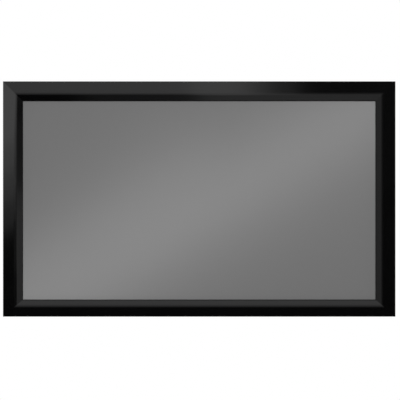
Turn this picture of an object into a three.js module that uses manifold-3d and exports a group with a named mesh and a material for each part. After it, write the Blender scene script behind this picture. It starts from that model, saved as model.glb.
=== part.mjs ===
// A wall-hung fixed frame projector screen: a grey film stretched across the back of a bevelled black frame.
// Millimetres, +Z up. The viewing side faces -Y, and the wall is on the +Y side.
// The origin is the middle of the box around the screen in X and Y, and the bottom edge of the frame in Z.

import * as THREE from "three";
import { mergeVertices } from "three/addons/utils/BufferGeometryUtils.js";
import Module from "manifold-3d";

const wasm = await Module();
wasm.setup();

// Picture area: 16:9, 72 inches across the corners
const openingWidth = 1594;
const openingHeight = 897;

// Frame rails, extruded aluminium; the bottom rail is the slimmer one
const railWidth = 89.5;
const bottomRailWidth = 76.6;
const railDepth = 40;
const railWall = 2;
const bevelWidth = 32.5;
const bevelDrop = 18;
const shoulderRadius = 38;
const outerEdgeRadius = 1.5;
const lipThickness = 2.5;
const lipFootWidth = 4;
const lipNoseRadius = 1;
const mitreGap = 0.3;

// Box part of a rail, with the bracket channel and its slot at the back
const sideBoxWidth = 28;
const bottomBoxWidth = 24;
const channelHeight = 6;
const slotWidth = 12;

// Rib that the springs hook on, and the track that takes the support bar
const ribInset = 46;
const ribThickness = 2;
const ribTip = 13.3;
const ribBeadHeight = 1.5;
const ribBeadWidth = 1;
const trackReach = 4;
const trackMouth = 6.5;

// Corner brackets and their set screws
const cornerLegLength = 92;
const cornerPlateThickness = 3.5;
const cornerPlateClearance = 0.5;
const cornerChamfer = 4;
const setScrewDiameter = 6;
const setScrewLength = 5.3;
const setScrewClearance = 0.25;
const setScrewSocketAcrossFlats = 3;
const setScrewSocketDepth = 2.5;
const setScrewDistances = [46, 76];

// Film, its hems and the tension rods in them
const filmThickness = 0.5;
const filmGap = 0.1;
const rodInset = 22;
const rodDiameter = 6;
const rodClearance = 0.2;
const hemWeldWidth = 12;
const filmCornerReach = 8;
const filmCornerChamfer = 3;
const notchWidth = 14;

// Tension springs
const topAndBottomSpringCount = 8;
const sideSpringCount = 4;
const springWire = 1.2;
const springDiameter = 6.5;
const springCoilLength = 11;
const hookClearance = 0.4;

// Support bar behind the film
const barWidth = 30;
const barThickness = 6;
const barWall = 1.2;
const barCapHead = 6;
const barCapPlug = 14;
const barEndGap = 0.3;
const capPlugClearance = 0.2;

// Wall brackets
const bracketWidth = 70;
const bracketPlate = 2.5;
const wallGap = 3;
const bracketSpacing = 1040;
const bracketPlateHeight = 52;
const bracketSeatGap = 0.3;
const tongueGap = 0.6;
const tongueEndGap = 0.8;
const screwSlotLength = 20;
const screwSlotWidth = 7;
const screwSlotSpacing = 36;
const screwSlotDrop = 34;

// Places worked out from the sizes above
const frameWidth = openingWidth + 2 * railWidth;
const frameHeight = openingHeight + railWidth + bottomRailWidth;
const overallDepth = railDepth + wallGap;
const frameBackY = overallDepth / 2 - wallGap;
const openingMiddleZ = bottomRailWidth + openingHeight / 2;
const lipBack = railDepth - bevelDrop - lipThickness;
const filmFront = lipBack - filmGap;
const filmBack = filmFront - filmThickness;
const hemInnerRadius = rodDiameter / 2 + rodClearance;
const hemOuterRadius = hemInnerRadius + filmThickness;
const rodHeight = filmFront - hemOuterRadius;
const channelFloor = railWall + channelHeight;

// A depth is counted from the back of the frame towards the viewer
const yAtDepth = (depth) => frameBackY - depth;

const railKinds = {
  wide: { width: railWidth, box: sideBoxWidth },
  slim: { width: bottomRailWidth, box: bottomBoxWidth },
};

// Each side of the frame has its own axes: x inwards from the outer edge, y towards the viewer, z along the rail.
// "before" and "after" are the widths of the rails met at the low and high end of z.
const sides = {
  top: {
    kind: railKinds.wide,
    inward: [0, 0, -1],
    edge: [0, frameBackY, frameHeight],
    length: frameWidth,
    opening: openingWidth,
    openingShift: 0,
    before: railWidth,
    after: railWidth,
    springs: topAndBottomSpringCount,
  },
  bottom: {
    kind: railKinds.slim,
    inward: [0, 0, 1],
    edge: [0, frameBackY, 0],
    length: frameWidth,
    opening: openingWidth,
    openingShift: 0,
    before: railWidth,
    after: railWidth,
    springs: topAndBottomSpringCount,
  },
  left: {
    kind: railKinds.wide,
    inward: [1, 0, 0],
    edge: [-frameWidth / 2, frameBackY, frameHeight / 2],
    length: frameHeight,
    opening: openingHeight,
    openingShift: frameHeight / 2 - openingMiddleZ,
    before: railWidth,
    after: bottomRailWidth,
    springs: sideSpringCount,
  },
  right: {
    kind: railKinds.wide,
    inward: [-1, 0, 0],
    edge: [frameWidth / 2, frameBackY, frameHeight / 2],
    length: frameHeight,
    opening: openingHeight,
    openingShift: openingMiddleZ - frameHeight / 2,
    before: bottomRailWidth,
    after: railWidth,
    springs: sideSpringCount,
  },
};

// Materials
const blackFinish = new THREE.MeshStandardMaterial({ color: 0x0c0c0d, roughness: 0.32, metalness: 0 });
const greyFilm = new THREE.MeshStandardMaterial({ color: 0x767676, roughness: 0.6, metalness: 0 });
const zincSteel = new THREE.MeshStandardMaterial({ color: 0xa9abad, roughness: 0.4, metalness: 0.9 });
const springSteel = new THREE.MeshStandardMaterial({ color: 0xb9babc, roughness: 0.25, metalness: 1 });
const blackOxide = new THREE.MeshStandardMaterial({ color: 0x1a1a1c, roughness: 0.45, metalness: 0.8 });
const fibreglass = new THREE.MeshStandardMaterial({ color: 0xd9d6c8, roughness: 0.5, metalness: 0 });
const anodised = new THREE.MeshStandardMaterial({ color: 0x8f9295, roughness: 0.4, metalness: 0.9 });
const capPlastic = new THREE.MeshStandardMaterial({ color: 0x151515, roughness: 0.6, metalness: 0 });

// Closed three.js geometry to a manifold-3d solid
function solidFrom(geometry) {
  const bare = geometry.clone();
  bare.deleteAttribute("normal");
  bare.deleteAttribute("uv");
  const merged = mergeVertices(bare, 1e-4);
  const mesh = new wasm.Mesh({
    numProp: 3,
    vertProperties: new Float32Array(merged.attributes.position.array),
    triVerts: new Uint32Array(merged.index.array),
  });
  return new wasm.Manifold(mesh);
}

// A manifold-3d solid back to flat-shaded three.js geometry
function geometryFrom(solid) {
  const mesh = solid.getMesh();
  const geometry = new THREE.BufferGeometry();
  geometry.setAttribute("position", new THREE.BufferAttribute(new Float32Array(mesh.vertProperties), 3));
  geometry.setIndex(new THREE.BufferAttribute(new Uint32Array(mesh.triVerts), 1));
  const flat = geometry.toNonIndexed();
  flat.computeVertexNormals();
  return flat;
}

// A section in x and y, extruded evenly to both sides of z = 0
function bar(shape, length, curveSegments = 6) {
  const geometry = new THREE.ExtrudeGeometry(shape, { depth: length, bevelEnabled: false, curveSegments });
  return geometry.translate(0, 0, -length / 2);
}

// An outline in x and z, with its thickness along y from "from" to "to"
function plate(shape, from, to, curveSegments = 6) {
  const geometry = new THREE.ExtrudeGeometry(shape, { depth: to - from, bevelEnabled: false, curveSegments });
  return geometry.rotateX(Math.PI / 2).translate(0, to, 0);
}

function polygon(points) {
  return new THREE.Shape(points.map(([x, y]) => new THREE.Vector2(x, y)));
}

function rectangle(x0, y0, x1, y1) {
  return polygon([
    [x0, y0],
    [x1, y0],
    [x1, y1],
    [x0, y1],
  ]);
}

function round(x, y, radius) {
  return new THREE.Shape().absarc(x, y, radius, 0, 2 * Math.PI, false);
}

// A slot with round ends, long in y
function slot(x, y, width, length) {
  const radius = width / 2;
  const half = length / 2 - radius;
  const shape = new THREE.Shape();
  shape.moveTo(x + radius, y - half);
  shape.lineTo(x + radius, y + half);
  shape.absarc(x, y + half, radius, 0, Math.PI, false);
  shape.lineTo(x - radius, y - half);
  shape.absarc(x, y - half, radius, Math.PI, 2 * Math.PI, false);
  return shape;
}

// A wire of the spring's thickness along a smooth curve in x and y
function wire(points, steps) {
  const curve = new THREE.CatmullRomCurve3(points.map(([x, y]) => new THREE.Vector3(x, y, 0)));
  const section = new THREE.Shape(
    Array.from({ length: 6 }, (_, i) => {
      const angle = (i * Math.PI) / 3;
      return new THREE.Vector2((Math.cos(angle) * springWire) / 2, (Math.sin(angle) * springWire) / 2);
    }),
  );
  return new THREE.ExtrudeGeometry(section, { steps, bevelEnabled: false, extrudePath: curve });
}

// The matrix from a side's own axes to the frame's
function sideMatrix(side) {
  const inward = new THREE.Vector3(...side.inward);
  const forward = new THREE.Vector3(0, -1, 0);
  const along = new THREE.Vector3().crossVectors(inward, forward);
  return new THREE.Matrix4().makeBasis(inward, forward, along).setPosition(...side.edge);
}

function springPlaces(side) {
  const pitch = side.opening / side.springs;
  return Array.from({ length: side.springs }, (_, i) => side.openingShift + (i + 0.5) * pitch - side.opening / 2);
}

// The section of a rail: front skin with its rounded shoulder and bevel, box with the bracket channel, rib and track
function railSection({ width, box }) {
  const squeeze = width / railWidth;
  const angle = Math.atan(bevelDrop / bevelWidth);
  const face = railWidth - bevelWidth;
  const tangent = shoulderRadius * Math.tan(angle / 2);
  const shoulderX = (face - tangent) * squeeze;
  const shoulderY = railDepth - shoulderRadius;
  const shoulderInner = shoulderRadius - railWall;
  const bevelAt = (x) => railDepth - (x / squeeze - face) * Math.tan(angle);
  const undersideDrop = railWall / Math.cos(angle);
  const footX = width - lipFootWidth;
  const lipFront = railDepth - bevelDrop;
  const ribX = width - ribInset;
  const slotNear = (box - slotWidth) / 2;
  const trackTop = railWall + trackMouth;

  const s = new THREE.Shape();
  s.moveTo(0, 0);
  s.lineTo(0, railDepth - outerEdgeRadius);
  s.absellipse(
    outerEdgeRadius * squeeze,
    railDepth - outerEdgeRadius,
    outerEdgeRadius * squeeze,
    outerEdgeRadius,
    Math.PI,
    Math.PI / 2,
    true,
  );
  s.lineTo(shoulderX, railDepth);
  s.absellipse(
    shoulderX,
    shoulderY,
    shoulderRadius * squeeze,
    shoulderRadius,
    Math.PI / 2,
    Math.PI / 2 - angle,
    true,
  );
  s.lineTo(width - lipNoseRadius * squeeze, bevelAt(width - lipNoseRadius * squeeze));
  s.quadraticCurveTo(width, lipFront, width, lipFront - lipNoseRadius);
  s.lineTo(width, lipBack);
  s.lineTo(footX, lipBack);
  s.lineTo(footX, bevelAt(footX) - undersideDrop);
  s.absellipse(
    shoulderX,
    shoulderY,
    shoulderInner * squeeze,
    shoulderInner,
    Math.PI / 2 - angle,
    Math.PI / 2,
    false,
  );
  s.lineTo(ribX + ribThickness / 2, railDepth - railWall);
  s.lineTo(ribX + ribThickness / 2, ribTip);
  s.lineTo(ribX - ribThickness / 2 - ribBeadWidth, ribTip);
  s.lineTo(ribX - ribThickness / 2 - ribBeadWidth, ribTip + ribBeadHeight);
  s.lineTo(ribX - ribThickness / 2, ribTip + ribBeadHeight);
  s.lineTo(ribX - ribThickness / 2, railDepth - railWall);
  s.lineTo(box, railDepth - railWall);
  s.lineTo(box, trackTop + railWall);
  s.lineTo(box + trackReach, trackTop + railWall);
  s.lineTo(box + trackReach, trackTop);
  s.lineTo(box, trackTop);
  s.lineTo(box, railWall);
  s.lineTo(box + trackReach, railWall);
  s.lineTo(box + trackReach, 0);
  s.lineTo(box - slotNear, 0);
  s.lineTo(box - slotNear, railWall);
  s.lineTo(box - railWall, railWall);
  s.lineTo(box - railWall, channelFloor);
  s.lineTo(railWall, channelFloor);
  s.lineTo(railWall, railWall);
  s.lineTo(slotNear, railWall);
  s.lineTo(slotNear, 0);
  s.closePath();
  s.holes.push(rectangle(railWall, channelFloor + railWall, box - railWall, railDepth - railWall));
  return s;
}

// A rail, cut at both ends on the plane from the outer corner to the corner of the opening
function railGeometry(side) {
  const { width } = side.kind;
  const half = side.length / 2;
  const blank = solidFrom(bar(railSection(side.kind), side.length));
  const gapAlong = (met) => (mitreGap / 2) * Math.hypot(1, met / width);
  const low = gapAlong(side.before);
  const high = gapAlong(side.after);
  const slopeLow = side.before / width;
  const slopeHigh = side.after / width;
  const past = 1;
  const trapezium = polygon([
    [-past, -half + low - past * slopeLow],
    [-past, half - high + past * slopeHigh],
    [width + past, half - high - (width + past) * slopeHigh],
    [width + past, -half + low + (width + past) * slopeLow],
  ]);
  const cutter = solidFrom(plate(trapezium, -past, railDepth + past));
  return geometryFrom(blank.intersect(cutter));
}

// A set screw with a hexagon socket, axis along y, its socket at y = 0 facing the wall
function setScrewGeometry() {
  const body = new THREE.CylinderGeometry(setScrewDiameter / 2, setScrewDiameter / 2, setScrewLength, 12);
  body.translate(0, setScrewLength / 2, 0);
  const socketRadius = setScrewSocketAcrossFlats / Math.sqrt(3);
  const past = 1;
  const socket = new THREE.CylinderGeometry(socketRadius, socketRadius, setScrewSocketDepth + past, 6);
  socket.translate(0, (setScrewSocketDepth - past) / 2, 0);
  return geometryFrom(solidFrom(body).subtract(solidFrom(socket)));
}

// An L plate that lies in the channels of two rails. acrossX and acrossZ are 1 or -1, pointing inwards from the corner.
function cornerBracketGeometry(acrossX, acrossZ, rowKind) {
  const cornerX = (-acrossX * frameWidth) / 2;
  const cornerZ = acrossZ > 0 ? 0 : frameHeight;
  const at = (a, b) => [cornerX + acrossX * a, cornerZ + acrossZ * b];
  const near = railWall + cornerPlateClearance;
  const uprightFar = sideBoxWidth - near;
  const rowFar = rowKind.box - near;
  const end = cornerLegLength;
  const outline = polygon([
    at(near + cornerChamfer, near),
    at(end - cornerChamfer, near),
    at(end, near + cornerChamfer),
    at(end, rowFar - cornerChamfer),
    at(end - cornerChamfer, rowFar),
    at(uprightFar, rowFar),
    at(uprightFar, end - cornerChamfer),
    at(uprightFar - cornerChamfer, end),
    at(near + cornerChamfer, end),
    at(near, end - cornerChamfer),
    at(near, near + cornerChamfer),
  ]);
  const boreRadius = setScrewDiameter / 2 + setScrewClearance;
  for (const distance of setScrewDistances) {
    outline.holes.push(round(...at(distance, rowKind.box / 2), boreRadius));
    outline.holes.push(round(...at(sideBoxWidth / 2, distance), boreRadius));
  }
  const back = railWall + setScrewClearance;
  return plate(outline, yAtDepth(back + cornerPlateThickness), yAtDepth(back), 8);
}

// The hem on one side: the film turned round the rod and welded to its own back
function hemSolid(side) {
  const rodX = side.kind.width - rodInset;
  const hemLength = side.opening + 2 * filmCornerReach;
  const loop = round(rodX, rodHeight, hemOuterRadius);
  const weldOverlap = 0.1;
  const weldStart = rodX + hemOuterRadius / 2;
  const weld = rectangle(weldStart, filmBack - filmThickness, weldStart + hemWeldWidth, filmBack + weldOverlap);
  const bore = round(rodX, rodHeight, hemInnerRadius);
  const past = 2;
  const solid = solidFrom(bar(loop, hemLength))
    .add(solidFrom(bar(weld, hemLength)))
    .subtract(solidFrom(bar(bore, hemLength + past)));
  const moved = geometryFrom(solid).translate(0, 0, side.openingShift).applyMatrix4(sideMatrix(side));
  return solidFrom(moved);
}

// The half-moon openings in a hem, where the springs reach the rod
function notchSolids(side) {
  const rodX = side.kind.width - rodInset;
  const past = 1;
  const tall = hemOuterRadius + past;
  return springPlaces(side).map((place) => {
    const shape = new THREE.Shape();
    const radius = notchWidth / 2;
    shape.moveTo(rodX - tall, place - radius);
    shape.lineTo(rodX, place - radius);
    shape.absarc(rodX, place, radius, -Math.PI / 2, Math.PI / 2, false);
    shape.lineTo(rodX - tall, place + radius);
    const cutter = plate(shape, rodHeight - tall, filmFront + past, 5);
    return solidFrom(cutter.applyMatrix4(sideMatrix(side)));
  });
}

// The film: one sheet with four hems, its corners cut back so that the hems stay clear of each other
function filmGeometry() {
  const flat = 2 * rodInset;
  const short = 2 * filmCornerReach;
  const wideX = (openingWidth + flat) / 2;
  const shortX = (openingWidth + short) / 2;
  const tallZ = (openingHeight + flat) / 2;
  const shortZ = (openingHeight + short) / 2;
  const c = filmCornerChamfer;
  const quarter = [
    [wideX, shortZ],
    [shortX + c, shortZ],
    [shortX, shortZ + c],
    [shortX, tallZ],
  ];
  const flip = (signX, signZ) => quarter.map(([x, z]) => [signX * x, openingMiddleZ + signZ * z]);
  const outline = polygon([
    ...flip(1, 1),
    ...flip(-1, 1).reverse(),
    ...flip(-1, -1),
    ...flip(1, -1).reverse(),
  ]);
  // The hem's own loop carries the last of the film, so the sheet ends on the line of the rod
  let solid = solidFrom(plate(outline, yAtDepth(filmFront), yAtDepth(filmBack)));
  for (const side of Object.values(sides)) {
    solid = solid.add(hemSolid(side));
  }
  for (const side of Object.values(sides)) {
    for (const notch of notchSolids(side)) {
      solid = solid.subtract(notch);
    }
  }
  return geometryFrom(solid);
}

function rodGeometry(side) {
  const rodLength = side.opening + 2 * filmCornerReach;
  return bar(round(0, 0, rodDiameter / 2), rodLength, 6);
}

// A tension spring as its outer shape: a closed coil along x, one hook round the rod at the origin, one over the rib
function springGeometry() {
  const ribX = rodInset - ribInset;
  const coilMiddle = ribX / 2;
  const coilStart = coilMiddle - springCoilLength / 2;
  const coilEnd = coilMiddle + springCoilLength / 2;
  const intoCoil = 1.5;
  const hookRadius = rodDiameter / 2 + hookClearance + springWire / 2;
  const onHook = (degrees) => {
    const angle = (degrees * Math.PI) / 180;
    return [hookRadius * Math.cos(angle), hookRadius * Math.sin(angle)];
  };
  const stand = springWire / 2 + hookClearance;
  const tip = ribTip - rodHeight;
  const farSide = ribX - ribThickness / 2 - ribBeadWidth;
  const nearSide = ribX + ribThickness / 2;
  const coil = new THREE.CylinderGeometry(springDiameter / 2, springDiameter / 2, springCoilLength, 12)
    .rotateZ(Math.PI / 2)
    .translate(coilMiddle, 0, 0);
  const rodHook = wire(
    [
      [coilEnd - intoCoil, 0],
      [coilEnd + springWire / 2, springWire / 2],
      ...[135, 90, 45, 0, -45, -90, -120].map(onHook),
    ],
    12,
  );
  const ribHook = wire(
    [
      [coilStart + intoCoil, 0],
      [coilStart - springWire, -springWire / 6],
      [nearSide + 2 * stand, tip + stand],
      [nearSide + 0.7 * stand, tip - 0.7 * stand],
      [(nearSide + farSide) / 2, tip - 1.1 * stand],
      [farSide - 0.7 * stand, tip - 0.7 * stand],
      [farSide - stand, tip + ribBeadHeight / 2],
      [farSide - stand, tip + 1.5 * ribBeadHeight],
    ],
    12,
  );
  return geometryFrom(solidFrom(coil).add(solidFrom(rodHook)).add(solidFrom(ribHook)));
}

// The wall brackets: a plate on the wall, a shelf through the slot of the rail and a tongue behind its upper lip.
// The top rail hangs on the shelf, so its plate goes down from there; the bottom plate goes up.
function wallBracketGeometry(kind, plateInward) {
  const slotNear = (kind.box - slotWidth) / 2;
  const back = -wallGap;
  const plateFront = back + bracketPlate;
  const tongueBack = railWall + tongueGap;
  const tongueFront = tongueBack + bracketPlate;
  const lipEdge = plateInward ? slotNear : kind.box - slotNear;
  const shelfTop = plateInward ? lipEdge + bracketSeatGap : lipEdge - bracketSeatGap;
  const shelfLow = plateInward ? shelfTop + bracketPlate : shelfTop - bracketPlate;
  const tongueEnd = plateInward ? railWall + tongueEndGap : kind.box - railWall - tongueEndGap;
  const plateEnd = plateInward ? shelfTop + bracketPlateHeight : shelfLow + bracketPlateHeight;
  const outline = plateInward
    ? [
        [shelfTop, back],
        [plateEnd, back],
        [plateEnd, plateFront],
        [shelfLow, plateFront],
        [shelfLow, tongueFront],
        [tongueEnd, tongueFront],
        [tongueEnd, tongueBack],
        [shelfTop, tongueBack],
      ]
    : [
        [shelfLow, back],
        [plateEnd, back],
        [plateEnd, plateFront],
        [shelfTop, plateFront],
        [shelfTop, tongueBack],
        [tongueEnd, tongueBack],
        [tongueEnd, tongueFront],
        [shelfLow, tongueFront],
      ];
  let solid = solidFrom(bar(polygon(outline), bracketWidth));
  const slotX = shelfTop + screwSlotDrop;
  const past = 1;
  for (const place of [-screwSlotSpacing / 2, screwSlotSpacing / 2]) {
    const cutter = plate(slot(slotX, place, screwSlotWidth, screwSlotLength), back - past, plateFront + past, 5);
    solid = solid.subtract(solidFrom(cutter));
  }
  return geometryFrom(solid);
}

// The support bar is a flat tube, with a plastic cap plugged into each end that sits in the track of a rail
const barBottom = bottomBoxWidth + barEndGap;
const barTop = frameHeight - sideBoxWidth - barEndGap;
const barDepth = railWall + (trackMouth - barThickness) / 2;

function barTubeGeometry() {
  const section = rectangle(-barWidth / 2, 0, barWidth / 2, barThickness);
  const inside = rectangle(-barWidth / 2 + barWall, barWall, barWidth / 2 - barWall, barThickness - barWall);
  section.holes.push(inside);
  return bar(section, barTop - barBottom - 2 * barCapHead);
}

// Head from z = 0 down, plug above it
function barCapGeometry() {
  const head = rectangle(-barWidth / 2, 0, barWidth / 2, barThickness);
  const inset = barWall + capPlugClearance;
  const plug = rectangle(-barWidth / 2 + inset, inset, barWidth / 2 - inset, barThickness - inset);
  const headGap = 0.1;
  const headSolid = bar(head, barCapHead - headGap).translate(0, 0, -(barCapHead + headGap) / 2);
  const plugSolid = bar(plug, barCapPlug + headGap).translate(0, 0, (barCapPlug - headGap) / 2 - headGap / 2);
  return geometryFrom(solidFrom(headSolid).add(solidFrom(plugSolid)));
}

// Assembly
function mesh(name, geometry, material) {
  const made = new THREE.Mesh(geometry, material);
  made.name = name;
  return made;
}

const screen = new THREE.Group();

const setScrew = setScrewGeometry();
const spring = springGeometry();

for (const [name, side] of Object.entries(sides)) {
  const group = new THREE.Group();
  sideMatrix(side).decompose(group.position, group.quaternion, group.scale);
  screen.add(group);

  group.add(mesh(`${name}_rail`, railGeometry(side), blackFinish));

  const rod = mesh(`${name}_tension_rod`, rodGeometry(side), fibreglass);
  const rodX = side.kind.width - rodInset;
  rod.position.set(rodX, rodHeight, side.openingShift);
  group.add(rod);

  springPlaces(side).forEach((place, i) => {
    const piece = mesh(`${name}_spring_${i + 1}`, spring, springSteel);
    piece.position.set(rodX, rodHeight, place);
    group.add(piece);
  });

  const half = side.length / 2;
  const screwPlaces = setScrewDistances.flatMap((distance) => [distance - half, half - distance]);
  screwPlaces.forEach((place, i) => {
    const piece = mesh(`${name}_set_screw_${i + 1}`, setScrew, blackOxide);
    const screwBack = channelFloor - setScrewLength - setScrewClearance / 2;
    piece.position.set(side.kind.box / 2, screwBack, place);
    group.add(piece);
  });

  if (side.opening === openingWidth) {
    const bracket = wallBracketGeometry(side.kind, name === "top");
    const zTowardsRight = side.inward[2];
    for (const [hand, acrossX] of Object.entries({ left: -1, right: 1 })) {
      const piece = mesh(`${name}_${hand}_wall_bracket`, bracket, zincSteel);
      piece.position.z = (zTowardsRight * acrossX * bracketSpacing) / 2;
      group.add(piece);
    }
  }
}

const corners = {
  top_left: [1, -1, railKinds.wide],
  top_right: [-1, -1, railKinds.wide],
  bottom_left: [1, 1, railKinds.slim],
  bottom_right: [-1, 1, railKinds.slim],
};
for (const [name, [acrossX, acrossZ, rowKind]] of Object.entries(corners)) {
  const geometry = cornerBracketGeometry(acrossX, acrossZ, rowKind);
  screen.add(mesh(`${name}_corner_bracket`, geometry, zincSteel));
}

screen.add(mesh("screen_film", filmGeometry(), greyFilm));

const barY = yAtDepth(barDepth + barThickness);
const tube = mesh("support_bar", barTubeGeometry(), anodised);
tube.position.set(0, barY, (barTop + barBottom) / 2);
screen.add(tube);

const capGeometry = barCapGeometry();
const lowCap = mesh("support_bar_bottom_cap", capGeometry, capPlastic);
lowCap.position.set(0, barY, barBottom + barCapHead);
const highCap = mesh("support_bar_top_cap", capGeometry, capPlastic);
highCap.rotation.y = Math.PI;
highCap.position.set(0, barY, barTop - barCapHead);
screen.add(lowCap, highCap);

export default screen;
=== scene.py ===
import math

import bmesh
import bpy
from mathutils import Matrix, Vector


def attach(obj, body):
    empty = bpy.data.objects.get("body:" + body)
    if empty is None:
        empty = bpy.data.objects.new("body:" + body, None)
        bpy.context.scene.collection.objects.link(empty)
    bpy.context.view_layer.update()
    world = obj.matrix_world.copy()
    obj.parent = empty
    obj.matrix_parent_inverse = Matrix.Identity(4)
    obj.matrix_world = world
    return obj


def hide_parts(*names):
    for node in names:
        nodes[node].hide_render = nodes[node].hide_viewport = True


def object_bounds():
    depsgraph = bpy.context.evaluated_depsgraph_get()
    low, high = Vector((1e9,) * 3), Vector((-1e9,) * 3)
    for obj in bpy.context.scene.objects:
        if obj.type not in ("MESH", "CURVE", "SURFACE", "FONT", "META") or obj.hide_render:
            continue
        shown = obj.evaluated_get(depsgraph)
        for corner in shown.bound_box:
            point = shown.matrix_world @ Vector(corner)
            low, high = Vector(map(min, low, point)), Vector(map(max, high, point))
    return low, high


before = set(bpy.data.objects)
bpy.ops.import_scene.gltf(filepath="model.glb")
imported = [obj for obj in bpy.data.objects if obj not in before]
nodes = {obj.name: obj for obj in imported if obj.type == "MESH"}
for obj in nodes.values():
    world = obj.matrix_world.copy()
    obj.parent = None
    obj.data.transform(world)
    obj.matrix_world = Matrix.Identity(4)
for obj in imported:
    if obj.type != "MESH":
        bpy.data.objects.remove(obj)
cad_box = [list(corner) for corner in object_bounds()]
scene = bpy.context.scene

# Sizes of the screen, in metres. The overall size is that of the frame, the rest as in the model of the part.
WALL_GAP = 0.003
WIDTH, DEPTH_AND_GAP, HEIGHT = (round(high - low, 5) for low, high in zip(*cad_box))
DEPTH = DEPTH_AND_GAP - WALL_GAP
RAIL = 0.0895
BOTTOM_RAIL = 0.0766
OPENING_WIDTH = WIDTH - 2 * RAIL
OPENING_HEIGHT = HEIGHT - RAIL - BOTTOM_RAIL
WALL = 0.002
BEVEL_WIDTH = 0.0325
BEVEL_DROP = 0.018
SHOULDER = 0.038
OUTER_EDGE = 0.0015
LIP = 0.0025
LIP_FOOT = 0.004
LIP_NOSE = 0.001
# width of the dark strip of painted shade on the edge of the lip
LIP_SHADE_WIDTH = 0.0026
BOX = 0.028
BOTTOM_BOX = 0.024
CHANNEL = 0.006
SLOT = 0.012
RIB_INSET = 0.046
RIB = 0.002
RIB_TIP = 0.0133
RIB_BEAD_HEIGHT = 0.0015
RIB_BEAD_WIDTH = 0.001
TRACK_REACH = 0.004
TRACK_MOUTH = 0.0065
FILM = 0.0005
FILM_GAP = 0.0001
FILM_LAP = 0.00005
ROD_INSET = 0.022
ROD = 0.006
ROD_CLEARANCE = 0.0002
HEM_WELD = 0.012
FILM_CORNER = 0.008
NOTCH = 0.014
SPRING_WIRE = 0.0012
SPRING = 0.0065
SPRING_COIL = 0.011
HOOK_CLEARANCE = 0.0004
SET_SCREW = 0.006
SET_SCREW_LENGTH = 0.0053
SET_SCREW_CLEARANCE = 0.00025
SET_SCREW_SOCKET = 0.003
SET_SCREW_SOCKET_DEPTH = 0.0025
SET_SCREW_DISTANCES = (0.046, 0.076)

# Sizes that only the look has, in metres
BESIDE_ARC = 0.0004
DIMPLE_DEPTH = 0.00035
DIMPLE_REACH = 0.011
DIMPLE_STEP = 0.0025
NOTCH_PAST_HEM = 0.006
NOTCH_PAST_FACE = 0.002
KNURL_PITCH = 0.0028
THREAD_PITCH = 0.001
THREAD_DEPTH = 0.0003

# Counts
SPRINGS_LONG_SIDE = 8
SPRINGS_SHORT_SIDE = 4
COIL_TURNS = 8

BACK_Y = DEPTH_AND_GAP / 2 - WALL_GAP
OPENING_MIDDLE = BOTTOM_RAIL + OPENING_HEIGHT / 2
LIP_BACK = DEPTH - BEVEL_DROP - LIP
FILM_FRONT = LIP_BACK - FILM_GAP
FILM_MIDDLE = FILM_FRONT - FILM / 2
HEM_RADIUS = ROD / 2 + ROD_CLEARANCE + FILM / 2
ROD_HEIGHT = FILM_MIDDLE - HEM_RADIUS
CHANNEL_FLOOR = WALL + CHANNEL


class Side:
    """One side of the frame.

    Its own axes are x inwards from the outer edge, y towards the viewer and z along the side.
    """

    def __init__(self, name, width, box, inward, edge, length, opening, shift, before, after, springs):
        self.name = name
        self.width = width
        self.box = box
        self.length = length
        self.opening = opening
        self.shift = shift
        self.before = before
        self.after = after
        forward = Vector((0, -1, 0))
        inward = Vector(inward)
        along = inward.cross(forward)
        self.matrix = Matrix.Translation(edge) @ Matrix((inward, forward, along)).transposed().to_4x4()
        self.rod = width - ROD_INSET
        pitch = opening / springs
        self.springs = [shift + (i + 0.5) * pitch - opening / 2 for i in range(springs)]


MIDDLE_SHIFT = HEIGHT / 2 - OPENING_MIDDLE
SIDES = (
    Side(
        "top", RAIL, BOX, (0, 0, -1), (0, BACK_Y, HEIGHT),
        WIDTH, OPENING_WIDTH, 0, RAIL, RAIL, SPRINGS_LONG_SIDE,
    ),
    Side(
        "bottom", BOTTOM_RAIL, BOTTOM_BOX, (0, 0, 1), (0, BACK_Y, 0),
        WIDTH, OPENING_WIDTH, 0, RAIL, RAIL, SPRINGS_LONG_SIDE,
    ),
    Side(
        "left", RAIL, BOX, (1, 0, 0), (-WIDTH / 2, BACK_Y, HEIGHT / 2),
        HEIGHT, OPENING_HEIGHT, MIDDLE_SHIFT, RAIL, BOTTOM_RAIL, SPRINGS_SHORT_SIDE,
    ),
    Side(
        "right", RAIL, BOX, (-1, 0, 0), (WIDTH / 2, BACK_Y, HEIGHT / 2),
        HEIGHT, OPENING_HEIGHT, -MIDDLE_SHIFT, BOTTOM_RAIL, RAIL, SPRINGS_SHORT_SIDE,
    ),
)


# Node trees, for shaders and for geometry

class Value:
    """An output of a node tree that takes part in sums."""

    def __init__(self, graph, socket):
        self.graph = graph
        self.socket = socket

    def math(self, operation, first, second=0.0):
        return self.graph.node("ShaderNodeMath", {"operation": operation}, {0: first, 1: second})

    def __add__(self, other):
        return self.math("ADD", self, other)

    def __sub__(self, other):
        return self.math("SUBTRACT", self, other)

    def __rsub__(self, other):
        return self.math("SUBTRACT", other, self)

    def __mul__(self, other):
        return self.math("MULTIPLY", self, other)

    def __truediv__(self, other):
        return self.math("DIVIDE", self, other)

    __radd__ = __add__
    __rmul__ = __mul__


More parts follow.
